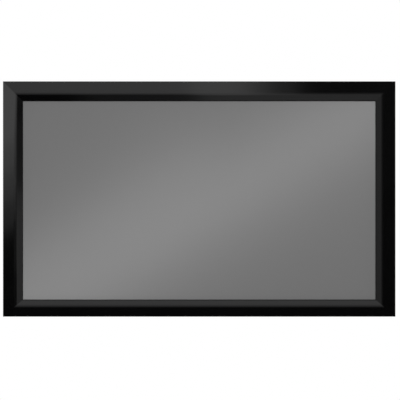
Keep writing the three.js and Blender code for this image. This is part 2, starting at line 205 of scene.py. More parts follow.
class Graph:
    """A node tree that is written one node at a time."""

    def __init__(self, tree):
        self.tree = tree

    def node(self, kind, settings=None, inputs=None, output=0):
        made = self.tree.nodes.new(kind)
        for name, setting in (settings or {}).items():
            if name == "stops":
                self.set_stops(made.color_ramp.elements, setting)
            else:
                setattr(made, name, setting)
        for key, value in (inputs or {}).items():
            if isinstance(value, Value):
                self.tree.links.new(value.socket, made.inputs[key])
            else:
                made.inputs[key].default_value = value
        return Value(self, made.outputs[output])

    @staticmethod
    def set_stops(elements, stops):
        while len(elements) < len(stops):
            elements.new(1)
        for element, (position, grey) in zip(elements, stops):
            element.position = position
            element.color = (grey, grey, grey, 1)

    def place(self):
        return self.node("ShaderNodeTexCoord", output="Object")

    def stretched(self, scale):
        return self.node("ShaderNodeMapping", inputs={"Vector": self.place(), "Scale": scale})

    def noise(self, vector, scale, detail=3.0, roughness=0.5):
        inputs = {"Vector": vector, "Scale": scale, "Detail": detail, "Roughness": roughness}
        return self.node("ShaderNodeTexNoise", inputs=inputs)

    def blend(self, amount, first, second):
        inputs = {0: amount, 6: (*first, 1), 7: (*second, 1)}
        return self.node("ShaderNodeMix", {"data_type": "RGBA"}, inputs, 2)

    def step(self, value, low, high):
        """0 below low, 1 above high, and a smooth change between them."""
        settings = {"interpolation_type": "SMOOTHSTEP"}
        return self.node("ShaderNodeMapRange", settings, {0: value, 1: low, 2: high})

    def relief(self, height, depth, strength=1.0):
        return self.node("ShaderNodeBump", inputs={"Strength": strength, "Distance": depth, "Height": height})


def finish(name, surface, **fixed):
    """A material: surface(graph) gives what varies over it by socket, and fixed holds the rest."""
    material = bpy.data.materials.new(name)
    material.use_nodes = True
    graph = Graph(material.node_tree)
    shader = material.node_tree.nodes["Principled BSDF"]
    for key, value in fixed.items():
        shader.inputs[key.replace("_", " ")].default_value = value
    for key, value in surface(graph).items():
        graph.tree.links.new(value.socket, shader.inputs[key])
    return material


def black_coating(along):
    """Satin black on a drawn rail, with faint lines along it."""

    def surface(g):
        lines = g.noise(g.stretched([4 if axis == along else 900 for axis in "xyz"]), 1, 2)
        clouds = g.noise(g.place(), 9, 2)
        peel = g.noise(g.place(), 700, 2)
        return {
            "Base Color": g.blend(clouds, (0.0012, 0.0012, 0.0013), (0.0021, 0.0021, 0.0022)),
            "Roughness": 0.11 + 0.02 * lines + 0.02 * clouds,
            "Normal": g.relief(peel + lines, 0.000004),
        }

    return finish(f"black_coating_{along}", surface, IOR=1.5)


def flocked_lip(g):
    """A matte black strip on the edge of the lip: painted shade, which stands in for the dark line of shadow
    along the edge of the film.
    """
    fibres = g.noise(g.place(), 2500, 2)
    return {
        "Base Color": g.blend(fibres, (0.0008, 0.0008, 0.0008), (0.0020, 0.0020, 0.0020)),
        "Roughness": 0.85 + 0.15 * fibres,
    }


def knurl(g):
    """The diamonds that the sealing bar presses into the weld of the hems."""
    apart = g.node("ShaderNodeSeparateXYZ", inputs={0: g.place()})
    x, y, z = (Value(g, socket) for socket in apart.socket.node.outputs)
    turn = 2 * math.pi / KNURL_PITCH
    diamonds = ((x + z) * turn).math("SINE", (x + z) * turn) * (x - z).math("SINE", (x - z) * turn)
    return diamonds * g.node("ShaderNodeAttribute", {"attribute_name": "weld"}, output="Fac")


def projection_face(g):
    """The grey viewing side of the film: matte, with a fine even grain."""
    grain = g.noise(g.place(), 1600, 2)
    clouds = g.noise(g.place(), 2.5, 2)
    weld = knurl(g)
    return {
        "Base Color": g.blend(0.5 * grain + 0.5 * clouds, (0.150, 0.150, 0.150), (0.158, 0.158, 0.158)),
        "Roughness": 0.60 + 0.08 * grain,
        "Normal": g.relief(grain + 9 * weld, 0.00002, 0.5),
    }


def blackout_back(g):
    """The black back of the film, faintly ribbed by the rollers that pressed it."""
    ribs = g.noise(g.stretched((5, 5, 260)), 1, 2)
    grain = g.noise(g.place(), 900, 2)
    return {
        "Base Color": g.blend(ribs, (0.013, 0.013, 0.014), (0.021, 0.021, 0.022)),
        "Roughness": 0.48 + 0.12 * grain,
        "Normal": g.relief(0.6 * grain + 0.4 * ribs + 3 * knurl(g), 0.00003, 0.6),
    }


def zinc_plate(g):
    """Bright zinc on pressed steel, with a slightly blue and yellow cast and fine rolling marks."""
    clouds = g.noise(g.place(), 38, 5, 0.6)
    marks = g.noise(g.stretched((60, 900, 1500)), 1, 3)
    grain = g.noise(g.place(), 1200, 3)
    return {
        "Base Color": g.blend(0.7 * clouds + 0.3 * marks, (0.40, 0.415, 0.445), (0.55, 0.54, 0.50)),
        "Roughness": 0.30 + 0.14 * clouds + 0.08 * marks,
        "Normal": g.relief(grain + marks, 0.00002, 0.4),
    }


def spring_steel(g):
    grain = g.noise(g.place(), 1500, 3)
    clouds = g.noise(g.place(), 220, 2)
    return {
        "Base Color": g.blend(clouds, (0.50, 0.50, 0.51), (0.64, 0.64, 0.64)),
        "Roughness": 0.20 + 0.14 * grain,
    }


def black_oxide(g):
    """Oiled black steel that shows the metal where a key has rubbed it."""
    rubbed = g.step(g.noise(g.place(), 650, 3), 0.56, 0.72)
    grain = g.noise(g.place(), 1800, 2)
    return {
        "Base Color": g.blend(rubbed, (0.028, 0.028, 0.031), (0.16, 0.16, 0.165)),
        "Roughness": 0.36 + 0.16 * grain,
    }


def glass_fibre(along):
    """Drawn glass fibre in clear resin, streaked along the rod."""

    def surface(g):
        fibres = g.noise(g.stretched([14 if axis == along else 2600 for axis in "xyz"]), 1, 3)
        return {
            "Base Color": g.blend(g.step(fibres, 0.3, 0.7), (0.60, 0.56, 0.44), (0.78, 0.75, 0.65)),
            "Roughness": 0.34 + 0.2 * fibres,
            "Normal": g.relief(fibres, 0.00003, 0.5),
        }

    return finish(f"glass_fibre_{along}", surface, Coat_Weight=0.25, Coat_Roughness=0.2)


def anodised_bar(g):
    """Clear anodised aluminium with the die lines of its extrusion."""
    lines = g.noise(g.stretched((700, 700, 2)), 1, 4)
    clouds = g.noise(g.place(), 14, 2)
    return {
        "Base Color": g.blend(0.4 * clouds + 0.6 * lines, (0.51, 0.52, 0.53), (0.66, 0.665, 0.67)),
        "Roughness": 0.26 + 0.22 * lines,
        "Normal": g.relief(lines, 0.00002, 0.5),
    }


def moulded_cap(g):
    """Black moulded plastic with a fine spark texture."""
    spark = g.noise(g.place(), 1300, 3)
    return {
        "Base Color": g.blend(spark, (0.011, 0.011, 0.011), (0.018, 0.018, 0.018)),
        "Roughness": 0.50 + 0.15 * spark,
        "Normal": g.relief(spark, 0.00005, 0.7),
    }


COATING = {"x": black_coating("x"), "z": black_coating("z")}
# matte black strip of painted shade for the edge of each lip, standing in for the shadow line beside the film
LIP_SHADE = finish("flocked_lip", flocked_lip, Specular_IOR_Level=0.08)
GREY_FACE = finish("projection_face", projection_face, Specular_IOR_Level=0.3)
BLACK_BACK = finish("blackout_back", blackout_back)
ZINC = finish("zinc_plate", zinc_plate, Metallic=1.0)
WIRE = finish("spring_steel", spring_steel, Metallic=1.0)
OXIDE = finish("black_oxide", black_oxide, Metallic=0.8)
FIBRE = {"x": glass_fibre("x"), "z": glass_fibre("z")}
ANODISED = finish("anodised_bar", anodised_bar, Metallic=1.0)
CAP = finish("moulded_cap", moulded_cap)


def length_axis(side):
    return "x" if side.opening == OPENING_WIDTH else "z"


# Making and placing pieces

def piece(name, mesh, materials=()):
    made = bpy.data.objects.new(name, mesh)
    scene.collection.objects.link(made)
    for material in materials:
        mesh.materials.append(material)
    return made


def outline_mesh(name, loops):
    """Closed loops of points, joined by edges only."""
    points, edges = [], []
    for loop in loops:
        start = len(points)
        count = len(loop)
        points += [(x, y, 0) for x, y in loop]
        edges += [(start + i, start + (i + 1) % count) for i in range(count)]
    mesh = bpy.data.meshes.new(name)
    mesh.from_pydata(points, edges, [])
    return mesh


def tidy(mesh):
    """Merges doubles and turns all faces outwards."""
    work = bmesh.new()
    work.from_mesh(mesh)
    bmesh.ops.remove_doubles(work, verts=work.verts, dist=1e-7)
    bmesh.ops.recalc_face_normals(work, faces=work.faces)
    work.to_mesh(mesh)
    work.free()


def shade(mesh, angle=30):
    mesh.shade_smooth()
    mesh.set_sharp_from_angle(angle=math.radians(angle))


def settle(made):
    """Carries out the modifiers of a piece and leaves a plain mesh."""
    graph = bpy.context.evaluated_depsgraph_get()
    mesh = bpy.data.meshes.new_from_object(made.evaluated_get(graph))
    made.modifiers.clear()
    made.data = mesh


def grow(made, tree, **values):
    """Runs a geometry tree on a piece, with its named inputs set, and leaves a plain mesh."""
    modifier = made.modifiers.new(tree.name, "NODES")
    modifier.node_group = tree
    for item in tree.interface.items_tree:
        if item.item_type == "SOCKET" and item.in_out == "INPUT" and item.name in values:
            modifier[item.identifier] = values[item.name]
    made.update_tag()
    settle(made)
    if made.data.materials[0] is None:
        made.data.materials.pop(index=0)


def new_tree(name, **sockets):
    tree = bpy.data.node_groups.new(name, "GeometryNodeTree")
    tree.interface.new_socket("Geometry", in_out="OUTPUT", socket_type="NodeSocketGeometry")
    tree.interface.new_socket("Geometry", in_out="INPUT", socket_type="NodeSocketGeometry")
    for socket, kind in sockets.items():
        tree.interface.new_socket(socket, in_out="INPUT", socket_type=f"NodeSocket{kind}")
    graph = Graph(tree)
    given = tree.nodes.new("NodeGroupInput")
    inputs = {socket.name: Value(graph, socket) for socket in given.outputs if socket.name}
    return graph, inputs


def ends_in(graph, geometry, material):
    """The last nodes of a tree: real geometry, with its material."""
    real = graph.node("GeometryNodeRealizeInstances", inputs={0: geometry})
    dressed = graph.node("GeometryNodeSetMaterial", inputs={"Geometry": real, "Material": material})
    graph.tree.links.new(dressed.socket, graph.tree.nodes.new("NodeGroupOutput").inputs[0])
    return graph.tree


# Rails

def arc(centre, radii, start, end, count):
    """Points on an arc, angles in radians."""
    angles = [start + (end - start) * i / count for i in range(count + 1)]
    return [(centre[0] + radii[0] * math.cos(a), centre[1] + radii[1] * math.sin(a)) for a in angles]


def rail_section(width, box):
    """The outer loop and the inner hollow of a rail's section."""
    squeeze = width / RAIL
    angle = math.atan(BEVEL_DROP / BEVEL_WIDTH)
    face = RAIL - BEVEL_WIDTH
    shoulder_x = (face - SHOULDER * math.tan(angle / 2)) * squeeze
    shoulder_y = DEPTH - SHOULDER
    quarter = math.pi / 2

    def bevel_at(x):
        return DEPTH - (x / squeeze - face) * math.tan(angle)

    foot = width - LIP_FOOT
    nose = width - LIP_NOSE * squeeze
    lip_front = DEPTH - BEVEL_DROP
    rib = width - RIB_INSET
    rib_far = rib - RIB / 2
    bead = rib_far - RIB_BEAD_WIDTH
    mouth = (box - SLOT) / 2
    track = WALL + TRACK_MOUTH
    edge = OUTER_EDGE * squeeze
    # a point close beside each arc keeps the shading of the flat next to it even
    outer = [(0, 0), (0, DEPTH - OUTER_EDGE - BESIDE_ARC)]
    outer += arc((edge, DEPTH - OUTER_EDGE), (edge, OUTER_EDGE), math.pi, quarter, 12)
    outer += [(edge + BESIDE_ARC, DEPTH), (shoulder_x - BESIDE_ARC, DEPTH)]
    outer += arc((shoulder_x, shoulder_y), (SHOULDER * squeeze, SHOULDER), quarter, quarter - angle, 24)
    outer += [(x, bevel_at(x)) for x in (outer[-1][0] + BESIDE_ARC, width - LIP_SHADE_WIDTH)]
    before_nose = (nose, bevel_at(nose))
    outer += [before_nose]
    for i in range(1, 7):
        t = i / 6
        ends = ((1 - t) ** 2, 2 * t * (1 - t), t * t)
        control = (before_nose, (width, lip_front), (width, lip_front - LIP_NOSE))
        outer.append(tuple(sum(w * p[k] for w, p in zip(ends, control)) for k in (0, 1)))
    outer += [(width, LIP_BACK), (foot, LIP_BACK), (foot, bevel_at(foot) - WALL / math.cos(angle))]
    inner_radii = ((SHOULDER - WALL) * squeeze, SHOULDER - WALL)
    outer += arc((shoulder_x, shoulder_y), inner_radii, quarter - angle, quarter, 16)
    outer += [
        (rib + RIB / 2, DEPTH - WALL),
        (rib + RIB / 2, RIB_TIP),
        (bead, RIB_TIP),
        (bead, RIB_TIP + RIB_BEAD_HEIGHT),
        (rib_far, RIB_TIP + RIB_BEAD_HEIGHT),
        (rib_far, DEPTH - WALL),
        (box, DEPTH - WALL),
        (box, track + WALL),
        (box + TRACK_REACH, track + WALL),
        (box + TRACK_REACH, track),
        (box, track),
        (box, WALL),
        (box + TRACK_REACH, WALL),
        (box + TRACK_REACH, 0),
        (box - mouth, 0),
        (box - mouth, WALL),
        (box - WALL, WALL),
        (box - WALL, CHANNEL_FLOOR),
        (WALL, CHANNEL_FLOOR),
        (WALL, WALL),
        (mouth, WALL),
        (mouth, 0),
    ]
    low = CHANNEL_FLOOR + WALL
    hollow = [(WALL, low), (box - WALL, low), (box - WALL, DEPTH - WALL), (WALL, DEPTH - WALL)]
    return outer, hollow


def rail_tree():
    """Draws a section out along z, and cuts both ends on their mitres."""
    sockets = {"Length": "Float", "Low Slope": "Float", "High Slope": "Float", "Coating": "Material"}
    graph, given = new_tree("rail", **sockets)
    curve = graph.node("GeometryNodeMeshToCurve", inputs={0: given["Geometry"]})
    end = graph.node("GeometryNodeFillCurve", inputs={0: curve})
    inputs = {"Mesh": end, "Offset": (0, 0, 1), "Individual": False}
    body = graph.node("GeometryNodeExtrudeMesh", inputs=inputs)
    other = graph.node("GeometryNodeFlipFaces", inputs={0: end})
    join = graph.node("GeometryNodeJoinGeometry")
    for geometry in (body, other):
        graph.tree.links.new(geometry.socket, join.socket.node.inputs[0])
    whole = graph.node("GeometryNodeMergeByDistance", inputs={"Geometry": join, "Distance": 1e-6})
    apart = graph.node("ShaderNodeSeparateXYZ", inputs={0: graph.node("GeometryNodeInputPosition")})
    x, y, z = (Value(graph, socket) for socket in apart.socket.node.outputs)
    half = given["Length"] / 2
    low = x * given["Low Slope"] - half
    high = half - x * given["High Slope"]
    where = graph.node("ShaderNodeCombineXYZ", inputs={0: x, 1: y, 2: low + z * (high - low)})
    cut = graph.node("GeometryNodeSetPosition", inputs={"Geometry": whole, "Position": where})
    return ends_in(graph, cut, given["Coating"])


RAIL_TREE = rail_tree()


def make_rail(side):
    """One rail in its coating, with a dark strip of painted shade on the edge of its lip."""
    made = piece(f"{side.name}_frame_rail", outline_mesh("rail", rail_section(side.width, side.box)))
    grow(
        made, RAIL_TREE, **{
            "Length": side.length,
            "Low Slope": side.before / side.width, "High Slope": side.after / side.width,
            "Coating": COATING[length_axis(side)],
        }
    )
    tidy(made.data)
    # the faces on the edge of the lip get the dark strip of painted shade
    made.data.materials.append(LIP_SHADE)
    for face in made.data.polygons:
        if face.center.x > side.width - LIP_SHADE_WIDTH and face.center.y > LIP_BACK + 1e-5:
            face.material_index = 1
    made.data.transform(side.matrix)
    tidy(made.data)
    shade(made.data, 20)
    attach(made, "root")
    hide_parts(f"{side.name}_rail")
    return made


# Film

def film_path(side):
    """The middle of the film across one side, from the flat sheet, round the rod and back to the weld."""
    reach = side.width - FILM_CORNER
    flat = [(reach + (side.rod - reach) * i / 6, FILM_MIDDLE) for i in range(6)]
    lap = FILM_MIDDLE - FILM - FILM_LAP
    turn = 1.5 * math.pi + math.asin((lap - ROD_HEIGHT) / HEM_RADIUS)
    hem = arc((side.rod, ROD_HEIGHT), (HEM_RADIUS, HEM_RADIUS), math.pi / 2, math.pi / 2 + turn, 22)
    weld = [(hem[-1][0] + HEM_WELD * i / 4, lap) for i in range(1, 5)]
    return flat + hem + weld


def spots_along(side):
    """Places along one side: close together at each spring, where its pull dimples the film."""
    half = side.opening / 2 + FILM_CORNER
    spots = {side.shift - half, side.shift + half}
    for place in side.springs:
        spots |= {place + DIMPLE_STEP * i for i in range(-12, 13)}
    return sorted(spots)


def dimple(side, place, across):
    """How far the springs draw the film back, between the lip and the rod."""
    lip = side.width - LIP_FOOT
    between = (lip - across) / (lip - side.rod)
    if not 0 < between < 1:
        return 0
    pull = 0
    for spring in side.springs:
        away = (place - spring) / DIMPLE_REACH
        pull += math.exp(-away * away) * math.cos(3.2 * away) ** 2
    return DIMPLE_DEPTH * pull * math.sin(math.pi * between)


def film_sheet():
    """The middle of the film as one open surface, its grey side towards the viewer."""
    work = bmesh.new()
    weld = work.verts.layers.float.new("weld")
    rim = []
    under_lap, over_lap = FILM_MIDDLE - 1.5 * FILM, FILM_MIDDLE - 0.9 * FILM
    for side in SIDES:
        path = film_path(side)
        grid = []
        for place in spots_along(side):
            row = []
            for across, height in path:
                back = dimple(side, place, across) if height > under_lap else 0
                vert = work.verts.new(side.matrix @ Vector((across, height - back, place)))
                vert[weld] = under_lap < height < over_lap and across > side.rod
                row.append(vert)
            grid.append(row)
        for low, high in zip(grid, grid[1:]):
            for i in range(len(path) - 1):
                work.faces.new((low[i], high[i], high[i + 1], low[i + 1]))
        rim.append([row[0] for row in grid])
    top, bottom, left, right = rim
    work.faces.new([vert for line in (top, left, bottom, right) for vert in line[:-1]])
    bmesh.ops.remove_doubles(work, verts=work.verts, dist=1e-6)
    bmesh.ops.recalc_face_normals(work, faces=work.faces)
    sheet = max(work.faces, key=lambda face: face.calc_area())
    if sheet.normal.y > 0:
        bmesh.ops.reverse_faces(work, faces=work.faces)
    mesh = bpy.data.meshes.new("film")
    work.to_mesh(mesh)
    work.free()
    return mesh


def notch_cutters():
    """A prism for each place where a spring reaches through the hem to its rod."""
    work = bmesh.new()
    low, high = ROD_HEIGHT - NOTCH_PAST_HEM, FILM_FRONT + NOTCH_PAST_FACE
    for side in SIDES:
        for place in side.springs:
            outline = [(side.rod - NOTCH_PAST_HEM, place - NOTCH / 2)]
            outline += [
                (side.rod + across, place + along)
                for across, along in arc((0, 0), (NOTCH / 2, NOTCH / 2), -math.pi / 2, math.pi / 2, 20)
            ]
            outline += [(side.rod - NOTCH_PAST_HEM, place + NOTCH / 2)]
            ends = [
                [work.verts.new(side.matrix @ Vector((across, height, along))) for across, along in outline]
                for height in (low, high)
            ]
            count = len(outline)
            work.faces.new(ends[0])
            work.faces.new(ends[1])
            for i in range(count):
                j = (i + 1) % count
                work.faces.new((ends[0][i], ends[0][j], ends[1][j], ends[1][i]))
    bmesh.ops.recalc_face_normals(work, faces=work.faces)
    mesh = bpy.data.meshes.new("notches")
    work.to_mesh(mesh)
    work.free()
    return piece("notches", mesh)


def make_film():
    """The film with its thickness, its hems and the notches in them."""
    made = piece("projection_film", film_sheet(), (GREY_FACE, BLACK_BACK))
    thick = made.modifiers.new("thick", "SOLIDIFY")
    thick.thickness = FILM
    thick.offset = 0
    thick.use_even_offset = True
    thick.material_offset = 1
    made.modifiers.new("flat_faces", "TRIANGULATE")
    cutters = notch_cutters()
    notch = made.modifiers.new("notch", "BOOLEAN")
    notch.operation = "DIFFERENCE"
    notch.solver = "EXACT"
    notch.object = cutters
    settle(made)
    bpy.data.objects.remove(cutters)
    shade(made.data, 25)
    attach(made, "root")
    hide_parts("screen_film")
    around = 2 * math.pi * HEM_RADIUS
    turned_in = 2 * (ROD_INSET + around + HEM_WELD)
    OPENING_WIDTH + turned_in
    OPENING_HEIGHT + turned_in
    return made


# Turned pieces, springs and screws

def hexagon(radius, angle):
    """How far a hexagon's edge is from its middle, where radius is that of its inner circle."""
    sixth = math.pi / 3
    return radius / math.cos((angle + sixth / 2) % sixth - sixth / 2)


def turned(name, profile, sides):
    """A closed piece round z. Each ring is (radius, z, shape), and shape is hexagon or None for a circle."""
    work = bmesh.new()
    rings = []
    for radius, height, shape in profile:
        ring = []
        for i in range(sides):
            angle = 2 * math.pi * i / sides
            reach = shape(radius, angle) if shape else radius
            ring.append(work.verts.new((reach * math.cos(angle), reach * math.sin(angle), height)))
        rings.append(ring)
    for low, high in zip(rings, rings[1:]):
        for i in range(sides):
            j = (i + 1) % sides
            work.faces.new((low[i], low[j], high[j], high[i]))
    work.faces.new(rings[0])
    work.faces.new(rings[-1])
    bmesh.ops.recalc_face_normals(work, faces=work.faces)
    mesh = bpy.data.meshes.new(name)
    work.to_mesh(mesh)
    work.free()
    return mesh


def make_rod(side):
    """The rod in the hem of one side, with its ends chamfered."""
    half = side.opening / 2 + FILM_CORNER
    radius, chamfer = ROD / 2, 0.0004
    rings = [
        (radius - chamfer, -half, None),
        (radius, chamfer - half, None),
        (radius, half - chamfer, None),
        (radius - chamfer, half, None),
    ]
    mesh = turned("rod", rings, 32)
    mesh.transform(side.matrix @ Matrix.Translation((side.rod, ROD_HEIGHT, side.shift)))
    made = piece(f"{side.name}_hem_rod", mesh, (FIBRE[length_axis(side)],))
    shade(mesh)
    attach(made, "root")
    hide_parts(f"{side.name}_tension_rod")


def smooth_line(points, steps):
    """A smooth line through points."""
    ends = [points[0], *points, points[-1]]
    line = []
    for a, b, c, d in zip(ends, ends[1:], ends[2:], ends[3:]):
        for i in range(steps):
            t = i / steps
            bend, twist = 2 * a - 5 * b + 4 * c - d, 3 * b - a - 3 * c + d
            line.append(0.5 * (2 * b + (c - a) * t + bend * t**2 + twist * t**3))
    return line + [points[-1]]


def spring_line():
    """The middle of a spring's wire, from its hook over the rib to its hook round the rod at the origin."""
    rib = ROD_INSET - RIB_INSET
    middle = rib / 2
    start, end = middle - SPRING_COIL / 2, middle + SPRING_COIL / 2
    stand = SPRING_WIRE / 2 + HOOK_CLEARANCE
    tip = RIB_TIP - ROD_HEIGHT
    near, far = rib + RIB / 2, rib - RIB / 2 - RIB_BEAD_WIDTH
    over_rib = [
        (far - stand, tip + 1.5 * RIB_BEAD_HEIGHT),
        (far - stand, tip + RIB_BEAD_HEIGHT / 2),
        (far - 0.7 * stand, tip - 0.7 * stand),
        ((near + far) / 2, tip - 1.1 * stand),
        (near + 0.7 * stand, tip - 0.7 * stand),
        (near + 2 * stand, tip + stand),
        (start - 1.3 * SPRING_WIRE, 0),
    ]
    hook = ROD / 2 + HOOK_CLEARANCE + SPRING_WIRE / 2
    round_rod = [(end + SPRING_WIRE, 0.3 * SPRING_WIRE)]
    for angle in map(math.radians, (135, 90, 45, 0, -45, -90, -120)):
        round_rod.append((hook * math.cos(angle), hook * math.sin(angle)))
    radius = (SPRING - SPRING_WIRE) / 2
    narrow, widening_turns = 0.12, 0.6
    coil = []
    count = 16 * COIL_TURNS
    for i in range(count + 1):
        share = i / count
        turns_from_end = COIL_TURNS * min(share, 1 - share)
        reach = radius * min(1, narrow + turns_from_end / widening_turns)
        angle = 2 * math.pi * COIL_TURNS * share
        along = start + SPRING_WIRE / 2 + (SPRING_COIL - SPRING_WIRE) * share
        coil.append(Vector((along, reach * math.cos(angle), reach * math.sin(angle))))
    first = smooth_line([Vector((x, y, 0)) for x, y in over_rib] + coil[:1], 5)
    last = smooth_line(coil[-1:] + [Vector((x, y, 0)) for x, y in round_rod], 5)
    return first[:-1] + coil + last[1:]


def line_piece(name, points):
    mesh = bpy.data.meshes.new(name)
    mesh.from_pydata(points, [(i, i + 1) for i in range(len(points) - 1)], [])
    return piece(name, mesh)


def points_piece(name, places, turns):
    """A point for each copy of a piece, with how it is turned."""
    mesh = bpy.data.meshes.new(name)
    mesh.from_pydata(places, [], [])
    held = mesh.attributes.new("turn", "FLOAT_VECTOR", "POINT")
    for value, turn in zip(held.data, turns):
        value.vector = turn
    return piece(name, mesh)


def copies(graph, given, pattern, spin=None):
    """A copy of the pattern on each point, turned as the point says."""
    named = graph.node("GeometryNodeInputNamedAttribute", {"data_type": "FLOAT_VECTOR"}, {"Name": "turn"})
    turn = graph.node("FunctionNodeEulerToRotation", inputs={0: named})
    if spin:
        turn = graph.node("FunctionNodeRotateRotation", {"rotation_space": "LOCAL"}, {0: turn, 1: spin})
    inputs = {"Points": given["Geometry"], "Instance": pattern, "Rotation": turn}
    return graph.node("GeometryNodeInstanceOnPoints", inputs=inputs)


def spring_tree():
    """Round wire along a line, copied to each point."""
    graph, given = new_tree("springs", **{"Line": "Object", "Wire": "Float", "Steel": "Material"})
    line = graph.node("GeometryNodeObjectInfo", inputs={"Object": given["Line"]}, output="Geometry")
    curve = graph.node("GeometryNodeMeshToCurve", inputs={0: line})
    inputs = {"Resolution": 8, "Radius": given["Wire"] / 2}
    section = graph.node("GeometryNodeCurvePrimitiveCircle", inputs=inputs)
    inputs = {"Curve": curve, "Profile Curve": section, "Fill Caps": True}
    wire = graph.node("GeometryNodeCurveToMesh", inputs=inputs)
    return ends_in(graph, copies(graph, given, wire), given["Steel"])


def make_springs():
    """All springs as one piece."""
    places, turns, stands_for = [], [], []
    for side in SIDES:
        for i, place in enumerate(side.springs):
            places.append(side.matrix @ Vector((side.rod, ROD_HEIGHT, place)))
            turns.append(side.matrix.to_euler())
            stands_for.append(f"{side.name}_spring_{i + 1}")
    made = points_piece("tension_springs", places, turns)
    line = line_piece("spring_line", spring_line())
    grow(made, spring_tree(), Line=line, Wire=SPRING_WIRE, Steel=WIRE)
    bpy.data.objects.remove(line)
    tidy(made.data)
    shade(made.data, 50)
    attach(made, "root")
    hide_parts(*stands_for)


def set_screw():
    """A screw round z with a hexagon socket at z = 0 and a cup point at the far end."""
    radius, pitch, depth = SET_SCREW / 2, THREAD_PITCH, THREAD_DEPTH
    socket = SET_SCREW_SOCKET / 2
    floor, chamfer = SET_SCREW_SOCKET_DEPTH, 0.0003
    rings = [
        (socket * 0.3, floor + 0.0004, None),
        (socket * 0.96, floor, None),
        (socket, floor, hexagon),
        (socket, 0.0002, hexagon),
        (socket + 0.0002, 0, hexagon),
        (radius - 0.0007, 0, None),
        (radius - depth, chamfer, None),
    ]
    height = chamfer
    while height + pitch < SET_SCREW_LENGTH - 0.0004:
        rings += [
            (radius, height + 0.44 * pitch, None),
            (radius, height + 0.56 * pitch, None),
            (radius - depth, height + pitch, None),
        ]
        height += pitch
    rings += [
        (radius - 0.0010, SET_SCREW_LENGTH, None),
        (radius - 0.0013, SET_SCREW_LENGTH, None),
        (0.0005, SET_SCREW_LENGTH - 0.0007, None),
    ]
    return turned("set_screw", rings, 24)


def screw_tree():
    """A screw on each point, each turned its own way about its axis."""
    graph, given = new_tree("set_screws", **{"Screw": "Object", "Seed": "Int", "Finish": "Material"})
    screw = graph.node("GeometryNodeObjectInfo", inputs={"Object": given["Screw"]}, output="Geometry")
    settings = {"data_type": "FLOAT_VECTOR"}
    spin = graph.node(
        "FunctionNodeRandomValue", settings, {0: (0, 0, 0), 1: (0, 0, math.pi / 3), "Seed": given["Seed"]}
    )
    spin = graph.node("FunctionNodeEulerToRotation", inputs={0: spin})
    return ends_in(graph, copies(graph, given, screw, spin), given["Finish"])


def make_set_screws():
    """All set screws of the corner plates as one piece."""
    places, turns, stands_for = [], [], []
    back = CHANNEL_FLOOR - SET_SCREW_LENGTH - SET_SCREW_CLEARANCE / 2
    facing = Matrix.Rotation(math.radians(90), 3, "X").to_euler()
    for side in SIDES:
        half = side.length / 2
        ends = [place for distance in SET_SCREW_DISTANCES for place in (distance - half, half - distance)]
        for i, place in enumerate(ends):
            places.append(side.matrix @ Vector((side.box / 2, back, place)))
            turns.append(facing)
            stands_for.append(f"{side.name}_set_screw_{i + 1}")
    made = points_piece("corner_set_screws", places, turns)
    screw = piece("screw", set_screw())
    grow(made, screw_tree(), Screw=screw, Seed=7, Finish=OXIDE)
    bpy.data.objects.remove(screw)
    tidy(made.data)
    shade(made.data, 35)
    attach(made, "root")
    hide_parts(*stands_for)


# Pressed and cut pieces keep the form of their solids, with their edges broken

def eased(name, node, material, edge):
    """A piece in the form of a solid, with its sharp edges rounded to edge."""
    mesh = nodes[node].data.copy()
    mesh.materials.clear()
    made = piece(name, mesh, (material,))
    work = bmesh.new()
    work.from_mesh(mesh)
    bmesh.ops.remove_doubles(work, verts=work.verts, dist=1e-6)
    bmesh.ops.dissolve_limit(work, angle_limit=math.radians(1), verts=work.verts, edges=work.edges)
    work.to_mesh(mesh)
    work.free()
    bevel = made.modifiers.new("edges", "BEVEL")
    bevel.width = edge
    bevel.segments = 2
    bevel.limit_method = "ANGLE"
    bevel.angle_limit = math.radians(35)
    settle(made)
    tidy(made.data)
    shade(made.data, 20)
    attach(made, "root")
    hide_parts(node)


RAILS = {side.name: make_rail(side) for side in SIDES}
FILM_PIECE = make_film()
for side in SIDES:
    make_rod(side)
make_springs()
make_set_screws()
for corner in ("top_left", "top_right", "bottom_left", "bottom_right"):
    eased(f"{corner}_corner_plate", f"{corner}_corner_bracket", ZINC, 0.0003)
    eased(f"{corner}_wall_hook", f"{corner}_wall_bracket", ZINC, 0.0004)
eased("brace_tube", "support_bar", ANODISED, 0.0004)
for end in ("top", "bottom"):
    eased(f"brace_{end}_cap", f"support_bar_{end}_cap", CAP, 0.0005)


# Stage: room, camera, lamps and floor

# The camera looks straight at the screen from far away. PIXEL is what one pixel covers on the frame's front.
# VIEW_Z is the height of the view's middle, and z of a lamp is measured from it.
PIXEL = 0.004518
PIXELS_WIDE = 400
SENSOR = 36
CAMERA_AWAY = 20.0
VIEW_X = 0.8 * PIXEL
VIEW_Z = HEIGHT / 2 - PIXEL
PANEL_Y = -1.6
PANEL_STEP = 0.02
SLANT = 20.1
STRIP_HEIGHT = 0.1
FLOOR = -0.62
FLOOR_RADIUS = 3.5

